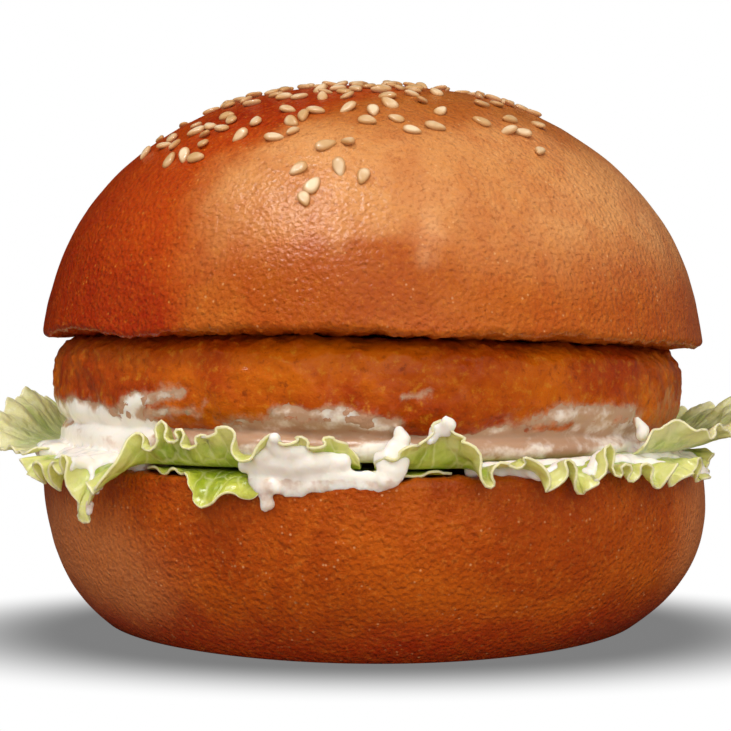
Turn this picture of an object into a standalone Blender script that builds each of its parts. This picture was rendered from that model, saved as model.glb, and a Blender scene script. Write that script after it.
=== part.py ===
"""A chicken burger in separate solids: bun heel, lettuce leaves, mayonnaise, chicken patty and bun crown.

Metres, +Z up. The burger stands on z = 0, its axis is the Z axis, and its front faces -Y.
Azimuths are in degrees round the Z axis: 0 is the front, 90 the right-hand side (+X) and 180 the back.
"""

import math

import bmesh
import bpy
from mathutils import Vector

# ---- Driving dimensions ----
MILLIMETRE = 0.001

HEEL_RADIUS = 0.0554
HEEL_HEIGHT = 0.0265
HEEL_BASE_RADIUS = 0.0428
HEEL_WIDEST = 0.0220
HEEL_POWERS = (2.57, 2.32)
HEEL_WHOLE_DEPTH = 0.0324
HEEL_LEAN = 0.0009

GAP = 0.0003
CUT_EDGE_ROUNDING = 0.0012

CROWN_RADIUS = 0.0545
CROWN_HEIGHT = 0.0423
CROWN_CUT = 0.0456
CROWN_POWERS = (2.28, 1.97)
CROWN_FLARE = 0.0013
CROWN_FLARE_HEIGHT = 0.008
CROWN_TO_LEFT = 0.0003
CROWN_LEAN = 0.0009

PATTY_RADIUS = 0.0525
PATTY_EDGE = 0.0052
PATTY_BOTTOM = 0.0312
PATTY_TO_LEFT = 0.0009
PATTY_MIDDLE = (CROWN_CUT - GAP + PATTY_BOTTOM) / 2
PATTY_HALF = CROWN_CUT - GAP - PATTY_MIDDLE

SAUCE_BOTTOM = 0.0292
SAUCE_SIDE = 0.0008

LEAF_THICKNESS = 0.0005
LEAF_BEND_RADIUS = 0.0533
LEAF_INNER_RADIUS = 0.0190
FRILLS_IN_A_TURN = 46
RISING_TURN = 0.92 * math.pi
BOW_STEPS = 12

# The pieces above the lettuce slope down to the right by this much of their width.
STACK_SLOPE = 0.020
LEVEL_BELOW, SLOPED_ABOVE = SAUCE_BOTTOM, PATTY_BOTTOM - GAP

# ---- Mesh density ----
BUN_SEGMENTS, BUN_RINGS = 38, 18
PATTY_SEGMENTS, PATTY_RINGS = 38, 15
SAUCE_SEGMENTS, SAUCE_RINGS = 38, 12
LEAF_ROWS = 5
DEGREES_PER_COLUMN = 1.75


# ---- Scene helpers ----


def clear_scene():
    for obj in list(bpy.data.objects):
        bpy.data.objects.remove(obj)


def new_collection(name):
    collection = bpy.data.collections.new(name)
    bpy.context.scene.collection.children.link(collection)
    return collection


def material(name, colour, roughness):
    made = bpy.data.materials.new(name)
    made.use_nodes = True
    shader = made.node_tree.nodes["Principled BSDF"]
    shader.inputs["Base Color"].default_value = (*colour, 1.0)
    shader.inputs["Roughness"].default_value = roughness
    shader.inputs["Metallic"].default_value = 0.0
    return made


def add_object(name, mesh_builder, collection, look):
    mesh = bpy.data.meshes.new(name)
    bmesh.ops.recalc_face_normals(mesh_builder, faces=mesh_builder.faces)
    mesh_builder.to_mesh(mesh)
    mesh_builder.free()
    mesh.shade_smooth()
    mesh.materials.append(look)
    obj = bpy.data.objects.new(name, mesh)
    collection.objects.link(obj)
    return obj


# ---- Geometry helpers ----


def around(azimuth, radius, height):
    """The point at this azimuth in radians, distance from the axis and height."""
    return Vector((radius * math.sin(azimuth), -radius * math.cos(azimuth), height))


def waves(azimuth, *terms):
    """A sum of waves round the burger, each term being (waves in a turn, size, phase)."""
    return sum(size * math.sin(count * azimuth + phase) for count, size, phase in terms)


def bump(azimuth, centre, width):
    """1 at the centre azimuth, falling smoothly to 0 beyond the width. Degrees."""
    return math.exp(-(((azimuth - centre) / width) ** 2))


def smooth_step(value, low, high):
    share = min(1.0, max(0.0, (value - low) / (high - low)))
    return share * share * (3 - 2 * share)


def superellipse(angle, width, height, width_power, height_power):
    """(across, up) on a quarter superellipse: angle 0 is the top, a quarter turn the side."""
    across = width * max(0.0, math.sin(angle)) ** (2 / width_power)
    up = height * max(0.0, math.cos(angle)) ** (2 / height_power)
    return across, up


def rounded_cut(share, radius, rounding):
    """(radius, distance past the side's end) along a rounded edge and then a flat cut face to the axis."""
    edge_share = 0.3
    if share < edge_share:
        angle = share / edge_share * math.pi / 2
        return radius - rounding * (1 - math.cos(angle)), rounding * math.sin(angle)
    return (radius - rounding) * (1 - share) / (1 - edge_share), rounding


def turned_form(segments, rings, outline, shape):
    """A UV sphere whose rings follow an outline from its top pole to its bottom pole.

    outline(share) gives (radius, height), and shape(azimuth, radius, height) the final point.
    """
    mesh_builder = bmesh.new()
    bmesh.ops.create_uvsphere(mesh_builder, u_segments=segments, v_segments=rings, radius=1.0)
    for vertex in mesh_builder.verts:
        x, y, z = vertex.co
        share = math.acos(max(-1.0, min(1.0, z))) / math.pi
        radius, height = outline(share)
        vertex.co = shape(math.atan2(x, -y), radius, height)
    return mesh_builder


def sloped(point):
    """The point moved up or down onto the slope of the stack."""
    share = smooth_step(point.z, LEVEL_BELOW, SLOPED_ABOVE)
    return point - Vector((0.0, 0.0, STACK_SLOPE * share * point.x))


# ---- Buns ----


def crown_outline(share):
    """The dome for the upper half of the shares, flared at its rim, then the cut edge and face."""
    if share <= 0.5:
        dome_height = CROWN_HEIGHT - CUT_EDGE_ROUNDING
        radius, up = superellipse(share * math.pi, CROWN_RADIUS, dome_height, *CROWN_POWERS)
        flare = CROWN_FLARE * math.exp(-up / CROWN_FLARE_HEIGHT)
        return radius + flare, CROWN_CUT + CUT_EDGE_ROUNDING + up
    radius, past = rounded_cut(2 * share - 1, CROWN_RADIUS + CROWN_FLARE, CUT_EDGE_ROUNDING)
    return radius, CROWN_CUT + CUT_EDGE_ROUNDING - past


def crown_shape(azimuth, radius, height):
    rise = (height - CROWN_CUT) / CROWN_HEIGHT
    uneven = 1 + (1 - rise) * waves(azimuth, (2, 0.006, 0.6), (3, 0.005, 2.1), (5, 0.003, 0.4))
    dimples = radius / CROWN_RADIUS * waves(azimuth, (4, 0.0003, 1.0), (7, 0.0002, 2.6))
    shift = Vector((CROWN_LEAN * rise - CROWN_TO_LEFT, 0.0, 0.0))
    return sloped(around(azimuth, radius * uneven, height + dimples * rise) + shift)


def heel_outline(share):
    """The cut face and its edge, a straight stretch of side, the rounded underside and the flat base."""
    top_share, wall_share, side_share = 0.35, 0.45, 0.85
    if share <= top_share:
        radius, past = rounded_cut(1 - share / top_share, HEEL_RADIUS, CUT_EDGE_ROUNDING)
        return radius, HEEL_HEIGHT - CUT_EDGE_ROUNDING + past
    if share <= wall_share:
        down = (share - top_share) / (wall_share - top_share)
        wall_top = HEEL_HEIGHT - CUT_EDGE_ROUNDING
        return HEEL_RADIUS, wall_top + down * (HEEL_WIDEST - wall_top)
    if share <= side_share:
        down = (share - wall_share) / (side_share - wall_share)
        last_angle = math.asin((HEEL_WIDEST / HEEL_WHOLE_DEPTH) ** (HEEL_POWERS[1] / 2))
        angle = math.pi / 2 - down * last_angle
        across, deep = superellipse(angle, HEEL_RADIUS, HEEL_WHOLE_DEPTH, *HEEL_POWERS)
        return across, max(0.0, HEEL_WIDEST - deep)
    return HEEL_BASE_RADIUS * (1 - share) / (1 - side_share), 0.0


def heel_shape(azimuth, radius, height):
    uneven = 1 + waves(azimuth, (2, 0.004, 1.9), (3, 0.004, 0.2), (5, 0.002, 1.1))
    lean = HEEL_LEAN * math.sin(math.pi * height / HEEL_HEIGHT)
    return around(azimuth, radius * uneven, height) + Vector((lean, 0.0, 0.0))


def build_buns(collection):
    crust = material("crust", (0.45, 0.16, 0.03), 0.35)
    crown = turned_form(BUN_SEGMENTS, BUN_RINGS, crown_outline, crown_shape)
    add_object("bun_crown", crown, collection, crust)
    heel = turned_form(BUN_SEGMENTS, BUN_RINGS, heel_outline, heel_shape)
    add_object("bun_heel", heel, collection, crust)


# ---- Chicken patty and mayonnaise ----


def patty_edge(angle, clearance=0.0):
    """(radius, distance from mid-height) round the edge: angle 0 is at a face, a quarter turn the widest."""
    across, up = superellipse(angle, PATTY_EDGE + clearance, PATTY_HALF + clearance, 2.0, 3.0)
    return PATTY_RADIUS - PATTY_EDGE + across, up


def patty_outline(share):
    """A flat face, the rounded edge and the other face."""
    face_share = 0.2
    face_radius = PATTY_RADIUS - PATTY_EDGE
    from_face = min(share, 1 - share)
    side = 1 if share < 0.5 else -1
    if from_face < face_share:
        return face_radius * from_face / face_share, PATTY_MIDDLE + side * PATTY_HALF
    radius, up = patty_edge((from_face - face_share) / (0.5 - face_share) * math.pi / 2)
    return radius, PATTY_MIDDLE + side * up


def patty_shape(azimuth, radius, height):
    reach = radius / PATTY_RADIUS
    uneven = 1 + reach * waves(azimuth, (2, 0.004, 0.3), (5, 0.004, 1.7), (9, 0.003, 0.8))
    return sloped(around(azimuth, radius * uneven, height) - Vector((PATTY_TO_LEFT, 0.0, 0.0)))


def build_patty(collection):
    breading = material("breading", (0.42, 0.12, 0.01), 0.5)
    patty = turned_form(PATTY_SEGMENTS, PATTY_RINGS, patty_outline, patty_shape)
    add_object("chicken_patty", patty, collection, breading)


def sauce_outline(share):
    """A layer under the patty that wraps up round its lower edge, then its outer side and flat underside."""
    face_share, tip_share, side_share = 0.2, 0.55, 0.75
    tip_angle = math.radians(68)
    if share < face_share:
        face_radius, up = patty_edge(0.0, GAP)
        return face_radius * share / face_share, PATTY_MIDDLE - up
    if share < tip_share:
        radius, up = patty_edge((share - face_share) / (tip_share - face_share) * tip_angle, GAP)
        return radius, PATTY_MIDDLE - up
    tip_radius, tip_up = patty_edge(tip_angle, GAP)
    if share < side_share:
        down = (share - tip_share) / (side_share - tip_share)
        tip_height = PATTY_MIDDLE - tip_up
        bulge = SAUCE_SIDE * math.sin(math.pi * min(1.0, 0.12 + 0.88 * down))
        return tip_radius + bulge, tip_height + (SAUCE_BOTTOM - tip_height) * down
    return tip_radius * (1 - share) / (1 - side_share), SAUCE_BOTTOM


def build_sauce(collection):
    cream = material("mayonnaise", (0.82, 0.73, 0.60), 0.25)
    sauce = turned_form(SAUCE_SEGMENTS, SAUCE_RINGS, sauce_outline, patty_shape)
    add_object("mayonnaise", sauce, collection, cream)


# ---- Lettuce ----
# A leaf lies flat as far as LEAF_BEND_RADIUS. Past that it reaches out by its overhang, and its margin
# waves up and down by its frill. Its bend is its steepest slope: a leaf that droops is steepest at its
# margin, and one that rises is steepest halfway and nearly level again at its margin.
# Name, first and last azimuth, height, overhang and frill in millimetres, bend in degrees, and lobes.
# A lobe is (azimuth, width, further overhang in millimetres, change of bend in degrees).

LEAVES = (
    ("lettuce_inner", -36, 11, 27.05, 2.0, 0.3, -6, (
        (-23, 3, 5.5, -70),
        (-17, 3, 3.5, -66),
        (-11, 3, 1.5, -58),
    )),
    ("lettuce_left", -119, -62, 28.65, 8.5, 0.9, -6, (
        (-88, 9, 2.5, 42),
        (-102, 10, 4.5, 60),
    )),
    ("lettuce_front_left", -66, -2, 27.85, 6.4, 1.5, 62, (
        (-65, 4, 2.0, -104),
        (-58, 4, 1.0, -118),
        (-51, 3, 1.5, -126),
        (-46, 2, 1.0, -70),
        (-41.5, 2.4, 6.6, -160),
        (-37, 1.9, 3.8, -110),
        (-15, 5, 0.5, -22),
    )),
    ("lettuce_front_right", 0, 74, 27.85, 6.2, 1.5, 30, (
        (9.0, 4.2, 2.6, 34),
        (15, 2.5, 0.0, -50),
        (23, 2.0, 0.6, -84),
        (29, 2.0, 0.9, -88),
        (36, 3, 0.5, -50),
        (42, 2.5, 1.2, -88),
        (48, 3, 1.0, -80),
        (56, 4, 1.5, -80),
        (66, 7, -2.2, -76),
    )),
    ("lettuce_right", 43, 118, 28.65, 9.0, 0.8, 30, (
        (46, 3, -2.0, 45),
        (95, 14, 5.0, 12),
    )),
    ("lettuce_back", 120, 239, 27.85, 7.0, 1.7, 0, (
        (132, 5, 3.0, 60),
        (150, 5, 2.0, -70),
        (168, 4, 3.5, -80),
        (190, 6, 1.0, 40),
        (214, 5, 3.0, -75),
    )),
)


def frill_at(azimuth, size):
    """(along the margin, off the leaf) at this azimuth: an uneven wave that leans over on both sides."""
    turn = math.radians(azimuth)
    phase = FRILLS_IN_A_TURN * turn + 1.3 * math.sin(5 * turn) + 0.9 * math.sin(13 * turn + 0.87)
    swell = 1 + 0.35 * math.sin(17 * turn + 0.35)
    return -0.4 * size * math.sin(2 * phase), size * swell * math.sin(phase)


def slope_at(out, bend):
    """The leaf's slope in radians at a share of the way out to its margin."""
    return math.radians(bend) * (math.sin(RISING_TURN * out) if bend > 0 else out)


def bow(out, bend):
    """(reach, rise) of the leaf as shares of its overhang, at a share of the way out to its margin."""
    slopes = [slope_at(out * (step + 0.5) / BOW_STEPS, bend) for step in range(BOW_STEPS)]
    reach = sum(math.cos(slope) for slope in slopes) * out / BOW_STEPS
    rise = sum(math.sin(slope) for slope in slopes) * out / BOW_STEPS
    return reach, rise


def leaf_point(azimuth, share, height, overhang, frill, bend, lobes):
    """The point at a share of the way from the leaf's inner edge, 0, to its margin, 1."""
    first_row = 1 / LEAF_ROWS
    if share <= first_row:
        radius = LEAF_INNER_RADIUS + (LEAF_BEND_RADIUS - LEAF_INNER_RADIUS) * share / first_row
        return around(math.radians(azimuth), radius, height)
    for centre, width, further, turned in lobes:
        overhang += further * bump(azimuth, centre, width)
        bend += turned * bump(azimuth, centre, width)
        frill *= 1 - 0.45 * bump(azimuth, centre, width)
    overhang *= MILLIMETRE
    out = (share - first_row) / (1 - first_row)
    reach, rise = bow(out, bend)
    slope = slope_at(out, bend)
    along, off = frill_at(azimuth, frill * MILLIMETRE * out * out)
    radius = LEAF_BEND_RADIUS + overhang * reach - off * math.sin(slope)
    level = height + overhang * rise + off * math.cos(slope)
    return around(math.radians(azimuth) + along / radius, radius, level)


def build_leaf(name, first, last, height, overhang, frill, bend, lobes):
    mesh_builder = bmesh.new()
    columns = round((last - first) / DEGREES_PER_COLUMN)
    bmesh.ops.create_grid(mesh_builder, x_segments=columns, y_segments=LEAF_ROWS, size=0.5)
    for vertex in mesh_builder.verts:
        azimuth = first + (last - first) * (vertex.co.x + 0.5)
        share = vertex.co.y + 0.5
        vertex.co = leaf_point(azimuth, share, height * MILLIMETRE, overhang, frill, bend, lobes)
    return mesh_builder


def build_lettuce(collection):
    green = material("lettuce", (0.42, 0.45, 0.08), 0.4)
    for leaf in LEAVES:
        blade = add_object(leaf[0], build_leaf(*leaf), collection, green)
        solidify = blade.modifiers.new("Thickness", "SOLIDIFY")
        solidify.thickness = LEAF_THICKNESS
        solidify.offset = 0.0


def main():
    clear_scene()
    burger = new_collection("chicken_burger")
    build_buns(burger)
    build_lettuce(burger)
    build_sauce(burger)
    build_patty(burger)


main()
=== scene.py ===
"""The looks of the chicken burger: baked crust, breading, frilly lettuce, mayonnaise and sesame seeds.

Metres, +Z up, and the front faces -Y. Azimuths are in degrees round the Z axis: 0 is the front,
90 the right-hand side (+X) and 180 the back. Each piece replaces its CAD node with a finer mesh of
the same form, whose main sizes are read from that node.
"""

import math

import bmesh
import bpy
import numpy as np
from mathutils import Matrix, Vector

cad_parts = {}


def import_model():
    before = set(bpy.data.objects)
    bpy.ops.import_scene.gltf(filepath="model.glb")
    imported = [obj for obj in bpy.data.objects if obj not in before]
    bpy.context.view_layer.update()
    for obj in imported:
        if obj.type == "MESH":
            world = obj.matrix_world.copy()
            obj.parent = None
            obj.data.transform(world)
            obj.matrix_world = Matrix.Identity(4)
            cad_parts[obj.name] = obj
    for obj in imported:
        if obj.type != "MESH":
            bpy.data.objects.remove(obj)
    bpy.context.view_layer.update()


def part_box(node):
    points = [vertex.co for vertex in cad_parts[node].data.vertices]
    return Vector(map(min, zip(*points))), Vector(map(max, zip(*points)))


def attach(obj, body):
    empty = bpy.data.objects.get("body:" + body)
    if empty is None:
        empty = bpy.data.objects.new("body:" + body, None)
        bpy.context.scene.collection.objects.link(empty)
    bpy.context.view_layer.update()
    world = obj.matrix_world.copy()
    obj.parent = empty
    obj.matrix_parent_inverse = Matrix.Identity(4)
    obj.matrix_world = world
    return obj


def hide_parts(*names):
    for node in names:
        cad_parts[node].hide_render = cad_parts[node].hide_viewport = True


MM = 0.001
BODY = "root"

# ---- Forms, as in the CAD model ----
GAP = 0.3 * MM
HEEL_BASE_RADIUS = 42.8 * MM
HEEL_WIDEST = 22.0 * MM
HEEL_LEAN = 0.9 * MM
CROWN_RADIUS = 54.5 * MM
CROWN_FLARE = 1.3 * MM
CROWN_TO_LEFT = 0.3 * MM
CROWN_LEAN = 0.9 * MM
PATTY_RADIUS = 52.5 * MM
PATTY_EDGE = 5.2 * MM
PATTY_TO_LEFT = 0.9 * MM
LEAF_BEND_RADIUS = 53.3 * MM
STACK_SLOPE = 0.020

# ---- Mesh density ----
BUN_SEGMENTS = 600
CROWN_RINGS = 150
HEEL_RINGS = 130
PATTY_SEGMENTS = 580
PATTY_RINGS = 110
LEAF_ROWS = 44
LEAF_COLUMN = 0.28 * MM
SAUCE_BAND_SEGMENTS = 760
SAUCE_BAND_RINGS = 96
SAUCE_LAYER_SEGMENTS = 220
SAUCE_LAYER_RINGS = 24
SEED_SEGMENTS = 14
SEED_RINGS = 10
STROKE_BALL_SEGMENTS = 10
STROKE_BALL_RINGS = 7
WELD_DISTANCE = 0.001 * MM


# ---- Noise ----


TABLE_SIZE = 4096
SHUFFLED = np.random.default_rng(7).permutation(TABLE_SIZE)
TABLE_VALUES = np.random.default_rng(8).uniform(-1, 1, TABLE_SIZE)


def noise(points, size, seed):
    """Smooth random values from -1 to 1 at the points, with lumps of about this size."""
    scaled = points / size + 500.0
    cell = np.floor(scaled).astype(np.int64)
    share = scaled - cell
    share = share * share * (3 - 2 * share)
    last = TABLE_SIZE - 1
    total = np.zeros(len(points))
    for x in (0, 1):
        on_x = SHUFFLED[(cell[:, 0] + x + seed * 37) & last]
        weight_x = share[:, 0] if x else 1 - share[:, 0]
        for y in (0, 1):
            on_y = SHUFFLED[(on_x + cell[:, 1] + y) & last]
            weight_y = weight_x * (share[:, 1] if y else 1 - share[:, 1])
            low = TABLE_VALUES[SHUFFLED[(on_y + cell[:, 2]) & last]]
            high = TABLE_VALUES[SHUFFLED[(on_y + cell[:, 2] + 1) & last]]
            total += weight_y * (low + (high - low) * share[:, 2])
    return total


def fractal(points, size, seed, octaves=3, gain=0.5):
    total = np.zeros(len(points))
    for octave in range(octaves):
        total += gain**octave * noise(points, size / 2**octave, seed + octave)
    return total


# ---- Geometry helpers ----


def around(azimuth, radius, height):
    """Points at these azimuths in radians, distances from the axis and heights."""
    parts = np.broadcast_arrays(radius * np.sin(azimuth), -radius * np.cos(azimuth), height)
    return np.stack(parts, axis=-1)


def waves(azimuth, *terms):
    return sum(size * np.sin(count * azimuth + phase) for count, size, phase in terms)


def bump(azimuth, centre, width):
    return np.exp(-(((azimuth - centre) / width) ** 2))


def smooth_step(value, low, high):
    share = np.clip((value - low) / (high - low), 0.0, 1.0)
    return share * share * (3 - 2 * share)


def superellipse(angle, width, height, width_power, height_power):
    across = width * np.clip(np.sin(angle), 0, 1) ** (2 / width_power)
    up = height * np.clip(np.cos(angle), 0, 1) ** (2 / height_power)
    return across, up


def sloped(points, level_below, sloped_above):
    """The points moved up or down onto the slope of the stack."""
    share = smooth_step(points[:, 2], level_below, sloped_above)
    return points - np.outer(STACK_SLOPE * share * points[:, 0], (0, 0, 1))


def new_piece(name, mesh, look, slot, *nodes):
    mesh.shade_smooth()
    mesh.materials.append(look)
    piece = bpy.data.objects.new(name, mesh)
    bpy.context.scene.collection.objects.link(piece)
    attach(piece, BODY)
    if nodes:
        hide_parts(*nodes)
    return piece


def get_points(mesh):
    points = np.empty(len(mesh.vertices) * 3)
    mesh.vertices.foreach_get("co", points)
    return points.reshape(-1, 3)


def set_points(mesh, points):
    mesh.vertices.foreach_set("co", np.ascontiguousarray(points, np.float32).ravel())
    mesh.update()


def set_attribute(mesh, name, values):
    attribute = mesh.attributes.new(name, "FLOAT", "POINT")
    attribute.data.foreach_set("value", np.ascontiguousarray(values, np.float32))


def grid_mesh(name, columns, rows, place):
    """A grid whose points go where place(share of the columns, share of the rows) says."""
    builder = bmesh.new()
    bmesh.ops.create_grid(builder, x_segments=columns, y_segments=rows, size=0.5)
    mesh = bpy.data.meshes.new(name)
    builder.to_mesh(mesh)
    builder.free()
    grid = get_points(mesh) + 0.5
    set_points(mesh, place(grid[:, 0], grid[:, 1]))
    return mesh


def close_border(mesh):
    """Joins the grid's edges where they meet."""
    builder = bmesh.new()
    builder.from_mesh(mesh)
    border = [vertex for vertex in builder.verts if vertex.is_boundary]
    bmesh.ops.remove_doubles(builder, verts=border, dist=WELD_DISTANCE)
    builder.to_mesh(mesh)
    builder.free()


def turned_mesh(name, segments, rings, place):
    """A closed mesh. place(azimuth in radians, share of the way from top to bottom) gives its points."""

    def place_on_grid(column, row):
        return place((column - 0.5) * 2 * math.pi, 1 - row)

    mesh = grid_mesh(name, segments, rings, place_on_grid)
    close_border(mesh)
    return mesh


def copies_mesh(name, base, placed):
    """One mesh holding a copy of the base mesh for each of the placed arrays of points."""
    builder = bmesh.new()
    for _ in placed:
        builder.from_mesh(base)
    mesh = bpy.data.meshes.new(name)
    builder.to_mesh(mesh)
    builder.free()
    set_points(mesh, np.concatenate(placed))
    return mesh


def ball_mesh(segments, rings):
    builder = bmesh.new()
    bmesh.ops.create_uvsphere(builder, u_segments=segments, v_segments=rings, radius=1.0)
    mesh = bpy.data.meshes.new("ball")
    builder.to_mesh(mesh)
    builder.free()
    return mesh


# ---- Node helpers ----


def new_material(name):
    material = bpy.data.materials.new(name)
    material.use_nodes = True
    tree = material.node_tree
    return material, tree, tree.nodes["Principled BSDF"]


def add(tree, kind, inputs=None, **settings):
    """A new node with these settings. An input's value is a number, a colour or another node's socket."""
    made = tree.nodes.new("ShaderNode" + kind)
    for name, value in settings.items():
        setattr(made, name, value)
    for name, value in (inputs or {}).items():
        if isinstance(value, bpy.types.NodeSocket):
            tree.links.new(value, made.inputs[name])
        else:
            made.inputs[name].default_value = value
    return made


def object_coordinates(tree):
    return add(tree, "TexCoord").outputs["Object"]


def noise_texture(tree, vector, size, detail=3.0, roughness=0.55, distortion=0.0):
    """The noise's value, from 0 to 1, with lumps of about this size in metres."""
    inputs = {
        "Vector": vector,
        "Scale": 1 / size,
        "Detail": detail,
        "Roughness": roughness,
        "Distortion": distortion,
    }
    return add(tree, "TexNoise", inputs).outputs["Fac"]


def cell_distance(tree, vector, scale, feature):
    """The distance to the nearest cell's centre or edge."""
    inputs = {"Vector": vector, "Scale": scale}
    return add(tree, "TexVoronoi", inputs, feature=feature).outputs["Distance"]


def ramp(tree, value, low, high, to_low=0.0, to_high=1.0):
    inputs = {"Value": value, "From Min": low, "From Max": high, "To Min": to_low, "To Max": to_high}
    return add(tree, "MapRange", inputs, interpolation_type="SMOOTHSTEP").outputs["Result"]


def math_node(tree, operation, first, second):
    return add(tree, "Math", {0: first, 1: second}, operation=operation).outputs[0]


def mix(tree, share, first, second, blend="MIX"):
    inputs = {0: share, 6: first, 7: second}
    return add(tree, "Mix", inputs, data_type="RGBA", blend_type=blend).outputs[2]


def mix_values(tree, share, first, second):
    return add(tree, "Mix", {0: share, 2: first, 3: second}, data_type="FLOAT").outputs[0]


def tinted(tree, where, amount, colour, tint):
    """The colour, with this amount of the tint where a mask is 1."""
    return mix(tree, math_node(tree, "MULTIPLY", where, amount), colour, tint)


def bump_from(tree, height, distance, strength=1.0, normal=None):
    inputs = {"Height": height, "Distance": distance, "Strength": strength}
    if normal:
        inputs["Normal"] = normal
    return add(tree, "Bump", inputs).outputs["Normal"]


def axis_value(tree, vector, axis):
    return add(tree, "SeparateXYZ", {"Vector": vector}).outputs[axis]


def patch(tree, where, centre, radii, low=0.85, high=1.15):
    """1 inside an ellipsoid round the centre, falling to 0 outside it."""
    offset = add(tree, "VectorMath", {0: where, 1: centre}, operation="SUBTRACT").outputs["Vector"]
    scaled = add(tree, "VectorMath", {0: offset, 1: radii}, operation="DIVIDE").outputs["Vector"]
    distance = add(tree, "VectorMath", {0: scaled}, operation="LENGTH").outputs["Value"]
    return ramp(tree, distance, high, low)


def wavering(tree, where, size, amount):
    """The coordinates shifted by a noise, which makes the edges of patches uneven."""
    inputs = {"Vector": where, "Scale": 1 / size, "Detail": 4.0}
    shift = add(tree, "TexNoise", inputs).outputs["Color"]
    centred = add(tree, "VectorMath", {0: shift, 1: (0.5, 0.5, 0.5)}, operation="SUBTRACT").outputs["Vector"]
    scaled = add(tree, "VectorMath", {0: centred, "Scale": amount}, operation="SCALE").outputs["Vector"]
    return add(tree, "VectorMath", {0: where, 1: scaled}, operation="ADD").outputs["Vector"]


# ---- Materials ----

SMEAR_COLOUR = (0.52, 0.31, 0.19, 1)
WARM_TINT = (1.0, 0.55, 0.25, 1.0)


def crust_grain(tree, where, shader):
    """A leathery grain, which breaks up the gloss of the egg wash."""
    pores = noise_texture(tree, where, 0.0007, 3, 0.6)
    cells = cell_distance(tree, where, 1500.0, "SMOOTH_F1")
    soft = bump_from(tree, noise_texture(tree, where, 0.0045, 3, 0.5), 0.0005, 0.22)
    gloss = bump_from(tree, cells, 0.00016, 0.6, bump_from(tree, pores, 0.00020, 0.6, soft))
    tree.links.new(gloss, shader.inputs["Coat Normal"])
    normal = bump_from(tree, pores, 0.00050, 0.9, soft)
    normal = bump_from(tree, cells, 0.00040, 0.8, normal)
    tree.links.new(normal, shader.inputs["Normal"])
    roughness = ramp(tree, noise_texture(tree, where, 0.003, 3, 0.6), 0.3, 0.75, 0.40, 0.55)
    tree.links.new(roughness, shader.inputs["Roughness"])
    shader.inputs["Specular IOR Level"].default_value = 0.10
    shader.inputs["Specular Tint"].default_value = WARM_TINT
    shader.inputs["Coat Weight"].default_value = 0.6
    shader.inputs["Coat Roughness"].default_value = 0.22


def grained(tree, where, colour):
    """The colour, lighter and darker from grain to grain; the lighter grains partly stand in for tiny painted
    glints.
    """
    grain = noise_texture(tree, where, 0.0008, 3, 0.7)
    lighter = mix(tree, ramp(tree, grain, 0.52, 0.74, 0.0, 0.30), colour, (0.76, 0.27, 0.035, 1))
    return mix(tree, ramp(tree, grain, 0.48, 0.30, 0.0, 0.38), lighter, (0.30, 0.045, 0.001, 1))


def speckled(tree, where, colour, speck_colour, amount):
    """The colour with small pale specks here and there."""
    spots = cell_distance(tree, where, 900.0, "F1")
    chosen = ramp(tree, noise_texture(tree, where, 0.0032, 2), 0.50, 0.62, 0.0, amount)
    share = math_node(tree, "MULTIPLY", ramp(tree, spots, 0.22, 0.08), chosen)
    return mix(tree, share, colour, speck_colour)


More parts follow.
